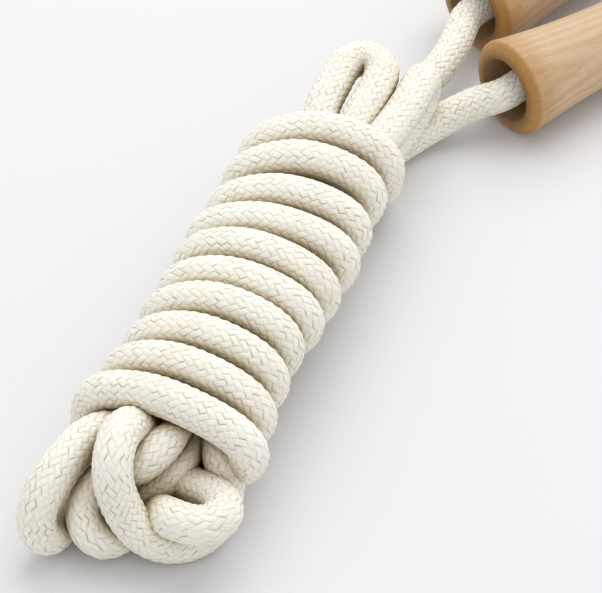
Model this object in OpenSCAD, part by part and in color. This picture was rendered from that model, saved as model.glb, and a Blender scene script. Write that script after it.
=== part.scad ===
// Jump rope: one braided cotton rope, wound up in a hank, with a turned wooden handle on each end.
// Millimetres, +Z up, standing on z = 0. The origin is the bottom centre of the two handles' box,
// and +X runs along the handles, from their mouths to their butts.

/* [Rope] */
// Diameter of the braided rope
rope_d = 9.5; // [8:0.1:11]
// Diameter that the rope is squeezed to inside the hank
squeezed_d = 6.3; // [4.5:0.1:7.5]
// Diameter of the straight core yarns inside the braid
core_d = 4; // [2:0.1:5.5]

/* [Handles] */
// Length of a handle
handle_l = 130; // [110:1:160]
// Diameter at the rounded lip around the mouth
lip_d = 26.5; // [25:0.1:32]
// Diameter of the crest of the lip, where the mouth starts to turn in
crest_d = 17.8; // [16.5:0.1:20]
// Length of the lip's outer rounding
lip_l = 2.4; // [1.5:0.1:6]
// Diameter at the neck behind the lip
neck_d = 20.5; // [19:0.1:24]
// Distance of the neck from the mouth
neck_at = 43; // [25:1:55]
// Greatest diameter, towards the butt
butt_d = 26.5; // [25.5:0.1:32]
// Distance of the greatest diameter from the butt's face
butt_at = 18; // [12:1:25]
// How far the outer rounding at the butt draws in
butt_round = 1.2; // [0.5:0.1:1.5]
// Depth of the mouth's funnel
funnel_l = 12; // [8:0.5:16]
// Gap around the rope in its bore
bore_gap = 1.25; // [0.8:0.05:1.6]

/* [Knot pocket] */
// Depth of the pocket in the butt that hides the knot
pocket_l = 42; // [40:0.5:50]
// Gap around the knot in its pocket
pocket_gap = 0.6; // [0.4:0.05:0.9]
// Depth of the chamfer around the pocket's rim
pocket_chamfer = 0.5; // [0.2:0.1:0.8]
// Thickness of the steel washer under the knot
washer_t = 1.5; // [1:0.1:2]
// Gap on each side of the washer
washer_gap = 0.3; // [0.3:0.05:0.5]
// Diameter of one strand of the tightened knot
knot_strand_d = 8.4; // [7:0.1:8.6]
// Length of the knot
knot_l = 19; // [17:0.5:20]
// Length of rope left behind the knot
end_l = 14; // [8:0.5:16]
// Length of the whipping thread on the cut end
whipping_l = 5; // [3:0.5:7]
// Thickness of the whipping thread
whipping_t = 0.6; // [0.4:0.1:0.9]

/* [Layout] */
// Distance across between the two mouths
handle_gap = 31.4; // [30:0.1:40]
// How far the far handle lies ahead of the near one
handle_stagger = 16; // [0:0.5:25]
// Angle between the two handles
handle_splay = 5; // [0:0.5:6]

/* [Hank] */
// Turns wound around the folds
turns = 10; // [10:1:10]
// Distance from turn to turn
turn_pitch = 11.15; // [11.1:0.05:11.3]
// Width across the turns, outside
turn_w = 41.4; // [41:0.1:43]
// Width across the nearest turn, outside
near_turn_w = 49; // [46:0.1:50]
// Height of the nearest turn, outside
near_turn_h = 36; // [35:0.1:37]
// Height of the farthest turn, outside
far_turn_h = 36.5; // [35.5:0.1:37.5]
// Gap between the folded rope and the turns
fold_gap = 0.3; // [0.2:0.05:0.8]

/* [Hidden] */
$fn = 64;

rope_colour = [0.93, 0.91, 0.84];
core_colour = [0.88, 0.85, 0.76];
thread_colour = [0.83, 0.79, 0.68];
wood_colour = [0.80, 0.65, 0.46];
steel_colour = [0.72, 0.72, 0.74];

// Rope and handle sizes that follow from the ones above
rope_r = rope_d / 2;
bore_r = rope_r + bore_gap;
knot_major_r = knot_strand_d / 2 + 0.6;
knot_r = knot_major_r + knot_strand_d / 2;
knot_tilt = 20;
pocket_r = knot_r + pocket_gap;
seat_at = handle_l - pocket_l;
washer_at = seat_at + washer_gap;
knot_at = washer_at + washer_t + washer_gap;
end_at = knot_at + knot_l;
whipping_at = end_at + end_l - whipping_l - 1;
whipping_fit = 0.05;
core_proud = 0.4;
lip_r = lip_d / 2;
crest_r = crest_d / 2;
neck_r = neck_d / 2;
butt_r = butt_d / 2;
curve_steps = 12;

// Where the two handles lie: level on the floor, splayed evenly about +X
axis_z = max(lip_r, butt_r);
near_mouth = [-(handle_l * cos(handle_splay / 2) + handle_stagger) / 2, -handle_gap / 2, axis_z];
far_mouth = near_mouth + [handle_stagger, handle_gap, 0];
near_turn = -handle_splay / 2;
far_turn = handle_splay / 2;

// Where the hank lies: centre of its nearest turn on the floor, and its turn about Z.
// Every rope point below is in the hank's own frame: x along the hank to its far end, y left, z up.
hank_at = [-220.6, -68.5, 0];
hank_turn = 31;
hank_y = 1.2;
turn_shift = 1.5;
near_turn_lean = -3.5;
far_turn_lean = 14.5;
turn_h_step = 0.25;
floor_z = rope_r + 0.05;
face_past = 3;
near_face = -face_past;
far_face = turn_pitch * (turns - 1) + face_past;
tube_sides = 10;

// How the rope comes out of each mouth: distance inside the mouth, height against the handle's axis
tail_start = funnel_l;
near_entry = [[tail_start, 0], [4, -0.6], [-1, -1.6]];
far_entry = [[tail_start, 0], [4, -0.4], [-2, -1]];

// The rope's route, from the near handle to the far one
near_lead_route = [[151, -25.6, 10.4], [146, -19.6, 8.2], [140.8, -14.2, 5.8], [134, -9.9, floor_z],
                   [127, -6.8, floor_z], [119.5, -6.4, floor_z], [113.5, -9.4, 5.6]];
left_route = [[near_face, 11.5, 21.5], [-8.5, 16.2, 23], [-17.8, 19.2, 22.3], [-24.4, 21.2, 19],
              [-28, 22.3, 14.4], [-29.2, 22, 9.6], [-27.6, 20.4, 5.4], [-23, 19.6, floor_z],
              [-17.5, 20.6, floor_z], [-12, 21.4, floor_z], [-7.5, 21.6, 6], [-4.6, 21.4, 8.8]];
small_route = [[near_face, -1.2, 23], [-7.4, 0.8, 22.6], [-11.4, 3.4, 20], [-14, 10, 17],
               [-18.6, 13.4, 13.4], [-22.8, 13, 10.4], [-25, 9.8, 7.2], [-22.4, 6.2, 5],
               [-17.2, 4.8, 6.2], [-12.6, 4, 9.6], [-7.6, -0.2, 12.5], [near_face, -3.8, 15.8]];
big_route = [[near_face, 6.3, 22], [-5.5, 7.6, 26.3], [-10.6, 8.1, 28.6], [-16.4, 7.3, 29],
             [-20, 6.6, 27], [-21.7, 5.6, 22.5], [-22.2, 3.8, 17], [-22.8, 0.1, 11.5], [-20.9, -3.5, 7],
             [-18.5, -7.4, floor_z], [-14.5, -11.9, floor_z], [-9.4, -13.7, 5.6], [-5.6, -14.1, 9.4]];
inner_route = [[near_face, -3, 10.8], [-6, -5.2, 11.4], [-7.4, -8.8, 12.8], [-9.2, -13.4, 14.4],
               [-12.6, -17.4, 15.4], [-17.6, -18.4, 16.2], [-21.4, -15, 16.4], [-20.8, -9.2, 15.8],
               [-17.4, -4, 12.4], [-13.4, -1.9, 7.4], [-9.4, 0.4, 5], [-5.8, 3.6, 6.8],
               [near_face, 6.6, 11.6]];
top_route = [[far_face, 4.6, 19.4], [112.5, 6.4, 21.6], [119.5, 7.6, 23.6], [126.5, 7.2, 25.2],
             [133.4, 7, 26], [137.1, 5.4, 26.2], [138.7, 1.7, 26.2], [137.1, -2, 26],
             [133.2, -3.6, 25.8], [126.5, -3.6, 25], [119, -2.8, 23.4], [112, -2.2, 21.4],
             [far_face, -1.6, 19.4]];
right_route = [[far_face, -6.4, 12.2], [114, -8.2, 12], [126, -10.4, 12.8], [136.4, -11.8, 13.4],
               [140.3, -12.2, 15], [141.9, -12.4, 18.8], [140.3, -12.6, 22.4], [136.4, -12.8, 24],
               [128.5, -12.8, 23.8], [119.5, -11.4, 22.4], [112, -10, 21.8], [far_face, -7.4, 20.6]];
low_route = [[far_face, 8.2, 12.4], [113, 10, 8.4], [120, 10.6, floor_z], [124.8, 14, floor_z],
             [123.4, 19.2, 5.8], [117, 20.6, 9], [110, 16, 15], [far_face, 10.2, 18.6]];
far_lead_route = [[176.5, -11.4, 12], [168.5, -11.8, 11.6], [160, -10.8, 10.6], [153, -8.2, 9],
                  [145.5, -4.2, 8.2], [137, 0, 8.2], [127.5, 2.4, 9], [116.5, 2.8, 10.4],
                  [far_face, 2.2, 12.2]];

// Points of a profile as [radius, distance along the axis]
function quarter(r0, r1, x0, x1) =
    [for (i = [0 : curve_steps]) let (a = 90 * i / curve_steps)
        [r0 + (r1 - r0) * sin(a), x0 + (x1 - x0) * (1 - cos(a))]];
function blend(r0, r1, x0, x1) =
    [for (i = [1 : curve_steps]) let (u = i / curve_steps)
        [r0 + (r1 - r0) * (1 - cos(180 * u)) / 2, x0 + (x1 - x0) * u]];
function flare(r0, r1, x0, x1) =
    [for (i = [1 : curve_steps]) let (u = i / curve_steps)
        [r1 + (r0 - r1) * pow(1 - u, 2), x0 + (x1 - x0) * u]];
function reversed(list) = [for (i = [len(list) - 1 : -1 : 0]) list[i]];

// A point on a handle's axis, turned into the hank's frame
function turned(p, a) = [p[0] * cos(a) - p[1] * sin(a), p[0] * sin(a) + p[1] * cos(a), p[2]];
function to_hank(p) = turned(p - hank_at, -hank_turn);
function on_axis(mouth, turn, e) = to_hank(mouth + turned([e[0], 0, e[1]], turn));
function into_handle(turn) = turned([1, 0, 0], turn - hank_turn);

// Rings of a tube along a route: their tangents, then normals carried along without twist
function unit(v) = v / norm(v);
function tangents(p, first, last) =
    [for (i = [0 : len(p) - 1])
        i == 0 ? first : i == len(p) - 1 ? last : unit(p[i + 1] - p[i - 1])];
function normals(t, done = []) =
    let (i = len(done))
    i == len(t) ? done :
    let (from = i == 0 ? [0, 0, 1] : done[i - 1])
    normals(t, concat(done, [unit(from - (from * t[i]) * t[i])]));

module tube(p, r, first, last) {
    t = tangents(p, first, last);
    n = normals(t);
    ends = len(p) - 1;
    points = [for (i = [0 : ends], k = [0 : tube_sides - 1])
        let (a = 360 * k / tube_sides, side = cross(t[i], n[i]))
        p[i] + r[i] * (cos(a) * n[i] + sin(a) * side)];
    walls = [for (i = [0 : ends - 1], k = [0 : tube_sides - 1])
        let (a = i * tube_sides + k, b = i * tube_sides + (k + 1) % tube_sides)
        each [[a, a + tube_sides, b + tube_sides], [a, b + tube_sides, b]]];
    first_cap = [for (k = [0 : tube_sides - 1]) k];
    last_cap = [for (k = [tube_sides - 1 : -1 : 0]) ends * tube_sides + k];
    polyhedron(points, concat(walls, [first_cap, last_cap]), convexity = 6);
}

// Radii along a route: full, and squeezed where it goes in between the folds
function radii(p, squeeze_first, squeeze_last) =
    [for (i = [0 : len(p) - 1])
        (i == 0 && squeeze_first) || (i == len(p) - 1 && squeeze_last) ? squeezed_d / 2 : rope_r];

module at_near() {
    translate(near_mouth) rotate([0, 0, near_turn]) rotate([0, 90, 0]) children();
}

module at_far() {
    translate(far_mouth) rotate([0, 0, far_turn]) rotate([0, 90, 0]) children();
}

module in_hank() {
    translate(hank_at) rotate([0, 0, hank_turn]) children();
}

// Turned handle around its own axis: lip, neck and swelling grip outside, funnel, bore and pocket inside
module handle() {
    outside = concat(
        quarter(crest_r, lip_r, 0, lip_l),
        flare(lip_r, neck_r, lip_l, neck_at),
        blend(neck_r, butt_r, neck_at, handle_l - butt_at),
        [for (p = reversed(quarter(butt_r - butt_round, butt_r, handle_l, handle_l - butt_at))) p]);
    inside = concat(
        [[pocket_r + pocket_chamfer, handle_l],
         [pocket_r, handle_l - pocket_chamfer],
         [pocket_r, seat_at],
         [bore_r, seat_at]],
        reversed(concat([[crest_r, 0]], blend(crest_r, bore_r, 0, funnel_l))));
    color(wood_colour) rotate_extrude() polygon(concat(outside, inside));
}

module washer() {
    color(steel_colour) translate([0, 0, washer_at]) difference() {
        cylinder(r = pocket_r - washer_gap, h = washer_t);
        translate([0, 0, -1]) cylinder(r = rope_r + washer_gap, h = washer_t + 2);
    }
}

module tail() {
    color(rope_colour) translate([0, 0, tail_start]) cylinder(r = rope_r, h = knot_at - tail_start);
}

// Overhand knot drawn tight: two crossing rings of rope around a middle
module knot() {
    ring_z = knot_strand_d / 2 + knot_major_r * sin(knot_tilt);
    color(rope_colour) translate([0, 0, knot_at]) intersection() {
        union() {
            translate([0, 0, ring_z]) rotate([0, knot_tilt, 0]) knot_ring();
            translate([0, 0, knot_l - ring_z]) rotate([knot_tilt, 0, 0]) knot_ring();
            cylinder(r = rope_r, h = knot_l);
        }
        cylinder(r = knot_r, h = knot_l);
    }
}

module knot_ring() {
    rotate_extrude() translate([knot_major_r, 0]) circle(d = knot_strand_d);
}

module rope_end() {
    color(rope_colour) translate([0, 0, end_at]) difference() {
        cylinder(r = rope_r, h = end_l);
        translate([0, 0, -1]) cylinder(d = core_d, h = end_l + 2);
    }
}

module core() {
    color(core_colour) translate([0, 0, end_at]) cylinder(d = core_d, h = end_l + core_proud);
}

module whipping() {
    color(thread_colour) translate([0, 0, whipping_at]) difference() {
        cylinder(r = rope_r + whipping_fit + whipping_t, h = whipping_l);
        translate([0, 0, -1]) cylinder(r = rope_r + whipping_fit, h = whipping_l + 2);
    }
}

// One closed turn of rope around the folds: two half rings joined by a top and a bottom run
module turn_ring(w, h) {
    bend_r = h / 2 - rope_r;
    run = w - h;
    translate([0, 0, h / 2]) rotate([0, 0, 90]) rotate([90, 0, 0]) {
        for (side = [-1, 1]) {
            translate([side * run / 2, 0, 0]) rotate([0, 0, -90 * side])
                rotate_extrude(angle = 180) translate([bend_r, 0]) circle(r = rope_r);
            translate([-run / 2, side * bend_r, 0]) rotate([0, 90, 0]) cylinder(r = rope_r, h = run);
        }
    }
}

module wrap_turns() {
    color(rope_colour) in_hank() for (i = [0 : turns - 1]) {
        w = i == 0 ? near_turn_w : turn_w;
        share = i / (turns - 1);
        h = near_turn_h + (far_turn_h - near_turn_h) * share;
        lean = near_turn_lean + (far_turn_lean - near_turn_lean) * share;
        translate([turn_pitch * i + turn_shift, hank_y, 0]) rotate([0, 0, lean])
            turn_ring(w, round(h / turn_h_step) * turn_h_step);
    }
}

// The folded runs that the turns hold together
module fold_bundle() {
    half_h = min(near_turn_h, far_turn_h) / 2 - rope_d - fold_gap;
    half_w = (turn_w / 2 - rope_r) * cos(far_turn_lean) - rope_r - 2 * fold_gap;
    slope = atan((near_turn_h - far_turn_h) / 2 / (turn_pitch * (turns - 1)));
    color(rope_colour) in_hank() translate([0, hank_y, near_turn_h / 2]) rotate([0, slope, 0])
        translate([near_face, 0, 0]) rotate([90, 0, 90]) linear_extrude(far_face - near_face) {
            for (side = [-1, 1]) translate([side * (half_w - half_h), 0]) circle(r = half_h);
            square([2 * (half_w - half_h), 2 * half_h], center = true);
        }
}

module bight(route, first, last) {
    color(rope_colour) in_hank() tube(route, radii(route, true, true), first, last);
}

module near_lead() {
    route = concat([for (e = near_entry) on_axis(near_mouth, near_turn, e)], near_lead_route);
    color(rope_colour) in_hank()
        tube(route, radii(route, false, false), -into_handle(near_turn), unit([-0.8, -0.5, 0.4]));
}

module far_lead() {
    route = concat([for (e = far_entry) on_axis(far_mouth, far_turn, e)], far_lead_route);
    color(rope_colour) in_hank()
        tube(route, radii(route, false, true), -into_handle(far_turn), [-1, 0, 0]);
}

module left_bight() {
    color(rope_colour) in_hank()
        tube(left_route, radii(left_route, true, false), [-1, 0, 0], unit([0.7, -0.05, 0.7]));
}

module small_bight() { bight(small_route, [-1, 0, 0], [1, 0, 0]); }
module big_bight() {
    color(rope_colour) in_hank()
        tube(big_route, radii(big_route, true, false), unit([-0.6, 0.2, 0.8]), unit([0.6, 0, 0.8]));
}

module inner_bight() { bight(inner_route, unit([-0.8, -0.5, 0]), unit([0.5, 0.5, 0.7])); }
module top_bight() { bight(top_route, [1, 0, 0], [-1, 0, 0]); }
module right_bight() { bight(right_route, [1, 0, 0], [-1, 0, 0]); }
module low_bight() { bight(low_route, [1, 0, 0], [-1, 0, 0]); }

at_near() handle();  // near_handle
at_far() handle();  // far_handle
at_near() washer();  // near_washer
at_far() washer();  // far_washer
at_near() tail();  // near_tail
at_far() tail();  // far_tail
at_near() knot();  // near_knot
at_far() knot();  // far_knot
at_near() rope_end();  // near_rope_end
at_far() rope_end();  // far_rope_end
at_near() core();  // near_core
at_far() core();  // far_core
at_near() whipping();  // near_whipping
at_far() whipping();  // far_whipping
near_lead();
far_lead();
wrap_turns();
fold_bundle();
left_bight();
small_bight();
big_bight();
inner_bight();
top_bight();
right_bight();
low_bight();
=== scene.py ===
import math

import bpy
import numpy as np
from bpy.props import FloatProperty, FloatVectorProperty, IntProperty, PointerProperty
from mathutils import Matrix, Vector


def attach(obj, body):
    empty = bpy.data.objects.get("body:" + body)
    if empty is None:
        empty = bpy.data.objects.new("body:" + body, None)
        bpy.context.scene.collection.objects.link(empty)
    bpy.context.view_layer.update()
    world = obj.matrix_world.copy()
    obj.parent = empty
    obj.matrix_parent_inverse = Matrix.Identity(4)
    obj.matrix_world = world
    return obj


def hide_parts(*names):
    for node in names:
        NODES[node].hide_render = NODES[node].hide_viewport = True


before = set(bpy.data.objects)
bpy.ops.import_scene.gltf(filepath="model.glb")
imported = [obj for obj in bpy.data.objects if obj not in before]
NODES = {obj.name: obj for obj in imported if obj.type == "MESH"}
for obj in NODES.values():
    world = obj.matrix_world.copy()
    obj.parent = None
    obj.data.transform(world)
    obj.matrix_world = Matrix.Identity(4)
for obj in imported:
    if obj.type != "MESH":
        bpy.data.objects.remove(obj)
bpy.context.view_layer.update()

bl_info = {
    "name": "Jump rope in a hank",
    "version": (1, 0, 0),
    "blender": (4, 5, 0),
    "location": "View3D > Sidebar > Jump Rope",
    "description": "Dresses a braided cotton jump rope, wound up in a hank, with its turned wooden handles",
    "category": "Object",
}

MM = 0.001

# Where the handles and the hank lie, in millimetres, with the splay in degrees
HANDLE_L, HANDLE_STAGGER, HANDLE_GAP, HANDLE_SPLAY, AXIS_Z = 130, 16, 31.4, 5, 13.25
NEAR_YAW, FAR_YAW = -math.radians(HANDLE_SPLAY / 2), math.radians(HANDLE_SPLAY / 2)
NEAR_MOUTH = np.array([-(HANDLE_L * math.cos(FAR_YAW) + HANDLE_STAGGER) / 2, -HANDLE_GAP / 2, AXIS_Z])
FAR_MOUTH = NEAR_MOUTH + [HANDLE_STAGGER, HANDLE_GAP, 0]
HANDLES = [("near", NEAR_MOUTH, NEAR_YAW), ("far", FAR_MOUTH, FAR_YAW)]
HANK_AT, HANK_TURN = np.array([-220.6, -68.5, 0]), math.radians(31)
NEAR_FACE, FAR_FACE = -3, 103.4
FLOOR_Z = 4.8

# The turns around the folds, from the nearest to the farthest: where each crosses the top, how much farther its
# right side lies than its left one, its reach to either side and the height of its top. The powers flatten or
# sharpen the bends at its sides, over its top and under its foot.
TURN_AT = [0.4, 11.6, 22.6, 33.6, 43.7, 54.4, 65.4, 76.6, 88.6, 100.3]
TURN_LEAN = [-2.5, -1, 0.8, 2.2, 2, 1.6, 4.2, 5.5, 7.3, 8.3]
TURN_RIGHT = [22, 19.4, 18, 17.3, 18.6, 19, 19.6, 18.4, 17.7, 17.9]
TURN_LEFT = [18.4, 16, 14.8, 14.8, 14.6, 14.8, 15.4, 14.4, 14.6, 14.6]
TURN_TOP = [31, 31.3, 31.4, 31.6, 31, 31.1, 30.4, 30.5, 32, 32]
TURN_Y, TURN_MIDDLE_Z, TURN_STEPS = 2.8, 22, 16
SIDE_POWER, TOP_POWER, FOOT_POWER = 1.18, 1.1, 1.5

# The rope's route in the hank's frame: x along the hank to its far end, y left, z up.
# An entry point is the distance inside a mouth and the height against the handle's axis.
NEAR_ENTRY = [[12, 0], [8, -0.15], [4, -0.6], [-1, -1.6]]
FAR_ENTRY = [[12, 0], [8, -0.1], [4, -0.4], [-2, -1]]
NEAR_LEAD = [[151, -25.6, 10.4], [146, -19.6, 8.2], [140.8, -14.2, 5.8], [134, -9.9, FLOOR_Z],
             [127, -6.8, FLOOR_Z], [119.5, -6.4, FLOOR_Z], [113.5, -9.4, 5.6], [109.5, -12.4, 9.8],
             [106, -14.2, 16.4]]
LEFT_BIGHT = [[NEAR_FACE, 11.5, 21.5], [-8.5, 16.2, 23], [-17.8, 19.2, 22.3], [-24.4, 21.2, 19],
              [-28, 22.3, 14.4], [-29.2, 22, 9.6], [-27.6, 20.4, 5.4], [-23, 19.6, FLOOR_Z],
              [-17.5, 20.6, FLOOR_Z], [-12, 21.4, FLOOR_Z], [-7.5, 21.6, 6], [-4, 21.3, 9.6],
              [-0.8, 20.8, 15.4]]
SMALL_BIGHT = [[NEAR_FACE, -1.2, 23], [-7.4, 0.8, 22.6], [-11.4, 3.4, 20], [-14, 10, 17],
               [-18.6, 13.4, 13.4], [-22.8, 13, 10.4], [-25, 9.8, 7.2], [-22.4, 6.2, 5],
               [-17.2, 4.8, 6.2], [-12.6, 4, 9.6], [-7.6, -0.2, 12.5], [NEAR_FACE, -3.8, 15.8]]
BIG_BIGHT = [[NEAR_FACE, 6.3, 22], [-5.5, 7.6, 26.3], [-10.6, 8.1, 28.6], [-16.4, 7.3, 29],
             [-20, 6.6, 27], [-21.7, 5.6, 22.5], [-22.2, 3.8, 17], [-22.8, 0.1, 11.5], [-20.9, -3.5, 7],
             [-18.5, -7.4, FLOOR_Z], [-14.5, -11.9, FLOOR_Z], [-9.4, -13.7, 5.6], [-5.6, -14.1, 9.4],
             [-3.2, -13.9, 13], [-0.7, -12.7, 16], [2.5, -9.5, 18.5]]
INNER_BIGHT = [[NEAR_FACE, -3, 10.8], [-6, -5.2, 11.4], [-7.4, -8.8, 12.8], [-9.2, -13.4, 14.4],
               [-12.6, -17.4, 15.4], [-17.6, -18.4, 16.2], [-21.4, -15, 16.4], [-20.8, -9.2, 15.8],
               [-17.4, -4, 12.4], [-13.4, -1.9, 7.4], [-9.4, 0.4, 5], [-5.8, 3.6, 6.8],
               [NEAR_FACE, 6.6, 11.6]]
TOP_BIGHT = [[FAR_FACE, 4.6, 19.4], [112.5, 6.4, 21.6], [119.5, 7.6, 23.6], [126.5, 7.2, 25.2],
             [133.4, 7, 26], [137.1, 5.4, 26.2], [138.7, 1.7, 26.2], [137.1, -2, 26],
             [133.2, -3.6, 25.8], [126.5, -3.6, 25], [119, -2.8, 23.4], [112, -2.2, 21.4],
             [FAR_FACE, -1.6, 19.4]]
RIGHT_BIGHT = [[FAR_FACE, -6.4, 12.2], [114, -8.2, 12], [126, -10.4, 12.8], [136.4, -11.8, 13.4],
               [140.3, -12.2, 15], [141.9, -12.4, 18.8], [140.3, -12.6, 22.4], [136.4, -12.8, 24],
               [128.5, -12.8, 23.8], [119.5, -11.4, 22.4], [112, -10, 21.8], [FAR_FACE, -7.4, 20.6]]
LOW_BIGHT = [[FAR_FACE, 8.2, 12.4], [113, 10, 8.4], [120, 10.6, FLOOR_Z], [124.8, 14, FLOOR_Z],
             [123.4, 19.2, 5.8], [117, 20.6, 9], [110, 16, 15], [FAR_FACE, 10.2, 18.6]]
FAR_LEAD = [[176.5, -11.4, 12], [168.5, -11.8, 11.6], [160, -10.8, 10.6], [153, -8.2, 9],
            [145.5, -4.2, 8.2], [137, 0, 8.2], [127.5, 2.4, 9], [116.5, 2.8, 10.4],
            [FAR_FACE, 2.2, 12.2]]
FOLD_STEPS = 6

# The route's step and the reach over which it rounds its bends, and the lengths in metres that it may come to
ROUTE_STEP, ROUTE_EASE = 0.5, 2.5
SHORTEST, LONGEST = 2.0, 2.6

# Where the rope is drawn thinner on its way to the handles, and by what share
DRAWN_FROM, DRAWN_OVER, DRAWN_SHARE = 128, 25, 0.06

# The share of their full squeeze from which the folds are hidden, and how much longer the braid is drawn there
HIDDEN_FROM, HIDDEN_OVER, HIDDEN_STRETCH = 0.9, 0.1, 6

# The braid: strands go two over and two under, so their crossings repeat after four. Each strand has four plies, and
# the mesh has four rows of vertices for each strand along the rope.
REPEAT, PLIES, ROWS = 4, 4, 4

# The maps: strips that the long rope is cut into for baking, their margins as shares, the spare rows at their ends,
# and the rows from a tube's rim to the hub of its cap
BAKE_STRIPS, SIDE_MARGIN, END_MARGIN, SPARE_ROWS, HUB_ROWS = 9, 0.02, 0.01, 4, 3

# The stopper in each handle, along the handle from its mouth: straight rope, the knot's coil, the cut end
TAIL_START, TAIL_END, TAIL_STEP = 12, 90, 6
KNOT_START, KNOT_END, KNOT_EASE = 90.1, 109.1, 1.5
TIGHT_PAST, TIGHT_OVER = 4, 6
INTO_COIL, OUT_OF_COIL = [91.5, 1, -0.8], [106.6, 2.4, -1.6]
COIL_START, COIL_END, COIL_RADIUS, COIL_FROM, COIL_SWEEP, COIL_STEPS = 95, 103.6, 4.7, -40, 380, 12
ROPE_END, END_POINTS = 123.1, [110.5, 114, 118]
WHIP_START, WHIP_END, WHIP_STEPS = 117.1, 122.1, 40

# The core yarns: a ring of them around one more, where they start, how far they stand out of the cut end, and the
# length and share of radius of the dome that a yarn or thread ends in
CORE_YARNS, CORE_RING, CORE_STARTS, CORE_PROUD, CORE_UNEVEN = 6, 1.3, (-1, -0.3), 0.4, 0.12
DOME_LENGTH, DOME_SHARE = 0.2, 0.55

# The stage in metres, with the sensor in millimetres and the brightness of the room where it is seen
FLOOR_HALF, SOFTBOX_WIDTH, SOFTBOX_AT, SEEN_ROOM = 4.0, 1.7, (0.46, 0.36, 1.3), 0.92
SENSOR_WIDTH, CLIP_START, CLIP_END = 36, 0.01, 50

# Blender's wave texture repeats after this length at a scale of 1
WAVE = math.tau / 20


def linear(hex_colour):
    """An sRGB hex colour as linear red, green and blue."""
    channels = [int(hex_colour[i:i + 2], 16) / 255 for i in (1, 3, 5)]
    return tuple(c / 12.92 if c <= 0.04045 else ((c + 0.055) / 1.055) ** 2.4 for c in channels)


def darker(colour, share):
    """A share of a linear colour, with full alpha, for a colour socket."""
    return (*(c * share for c in colour), 1)


class RopeSettings(bpy.types.PropertyGroup):
    diameter: FloatProperty(
        name="Diameter", description="Diameter of the braided rope",
        default=9.5 * MM, min=0.006, max=0.014, unit="LENGTH")
    squeezed: FloatProperty(
        name="Squeezed diameter", description="Diameter that the folds are squeezed to inside the turns",
        default=6.3 * MM, min=0.004, max=0.009, unit="LENGTH")
    strands: IntProperty(
        name="Strands each way", description="Strands that run each way round the braid, an even number",
        default=16, min=8, max=20, step=2)
    lay: FloatProperty(
        name="Braid spacing", description="Distance along the rope from one strand to the next",
        default=2.25 * MM, min=0.0015, max=0.005, unit="LENGTH")
    relief: FloatProperty(
        name="Relief", description="How far a strand stands above the hollows beside it",
        default=0.22 * MM, min=0, max=0.001, unit="LENGTH")
    cotton: FloatVectorProperty(
        name="Cotton", description="Colour of the undyed cotton yarn",
        default=linear("#FCF9EF"), min=0, max=1, subtype="COLOR")
    aged: FloatVectorProperty(
        name="Aged cotton", description="Yarn that has yellowed a little",
        default=linear("#F4EEDE"), min=0, max=1, subtype="COLOR")
    hollow: FloatVectorProperty(
        name="Hollows", description="Dust and shade between the strands",
        default=linear("#A39B7E"), min=0, max=1, subtype="COLOR")
    # Painted shade: the warm yellow mixed in by ambient occlusion where the rope lies against itself
    warm_crease_shade: FloatVectorProperty(
        name="Pressed cotton", description="Yarn that has yellowed where the rope lies against itself",
        default=linear("#BA9C56"), min=0, max=1, subtype="COLOR")
    # Painted shade: the dark brown mixed into the braid's pits and where loops close over each other
    crease_shade: FloatVectorProperty(
        name="Dust", description="Dust that has gathered where loops close over each other",
        default=linear("#433519"), min=0, max=1, subtype="COLOR")


class StopperSettings(bpy.types.PropertyGroup):
    strand: FloatProperty(
        name="Knot strand", description="Diameter of the rope where the knot draws it tight",
        default=8.4 * MM, min=0.006, max=0.0095, unit="LENGTH")
    core_yarn: FloatProperty(
        name="Core yarn", description="Diameter of one straight yarn of the rope's core",
        default=1.3 * MM, min=0.0008, max=0.0014, unit="LENGTH")
    thread: FloatProperty(
        name="Whipping thread", description="Diameter of the thread wound around the cut end",
        default=0.6 * MM, min=0.0003, max=0.001, unit="LENGTH")
    core_colour: FloatVectorProperty(
        name="Core", description="Colour of the core yarn",
        default=linear("#E6DFCC"), min=0, max=1, subtype="COLOR")
    thread_colour: FloatVectorProperty(
        name="Thread", description="Colour of the whipping thread",
        default=linear("#D8CFB4"), min=0, max=1, subtype="COLOR")


class HandleSettings(bpy.types.PropertyGroup):
    ring_width: FloatProperty(
        name="Growth rings", description="Width of one growth ring of the wood",
        default=2.6 * MM, min=0.001, max=0.006, unit="LENGTH")
    fleck: FloatProperty(
        name="Fleck width", description="Width of the short dark flecks along the grain",
        default=0.45 * MM, min=0.0002, max=0.001, unit="LENGTH")
    wood: FloatVectorProperty(
        name="Wood", description="Pale wood between the rings",
        default=linear("#CCB392"), min=0, max=1, subtype="COLOR")
    late_wood: FloatVectorProperty(
        name="Late wood", description="Darker wood of the rings",
        default=linear("#BC9C76"), min=0, max=1, subtype="COLOR")
    end_grain: FloatVectorProperty(
        name="End grain", description="Wood that is cut across the grain, at the lip",
        default=linear("#AC7D3E"), min=0, max=1, subtype="COLOR")
    steel: FloatVectorProperty(
        name="Washer", description="Zinc-plated steel of the washers",
        default=linear("#BDBEC2"), min=0, max=1, subtype="COLOR")


class StageSettings(bpy.types.PropertyGroup):
    camera_at: FloatVectorProperty(
        name="Camera", description="Where the camera stands",
        default=(-0.49699, -0.46271, 0.5115), subtype="TRANSLATION", unit="LENGTH")
    look_at: FloatVectorProperty(
        name="Looks at", description="The point on the floor in the middle of the picture",
        default=(-0.15554, -0.03345, 0), subtype="TRANSLATION", unit="LENGTH")
    lens: FloatProperty(
        name="Lens", description="Focal length in millimetres on a 36 mm wide sensor",
        default=179.4, min=20, max=400, unit="CAMERA")
    floor: FloatVectorProperty(
        name="Floor", description="Colour of the pale floor",
        default=linear("#DEDEE0"), min=0, max=1, subtype="COLOR")
    softbox: FloatProperty(
        name="Softbox", description="Power of the large lamp", default=14.0, min=0, max=100, unit="POWER")
    room: FloatProperty(
        name="Room light", description="Strength of the even light from the white room", default=0.85, min=0, max=2)


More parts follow.
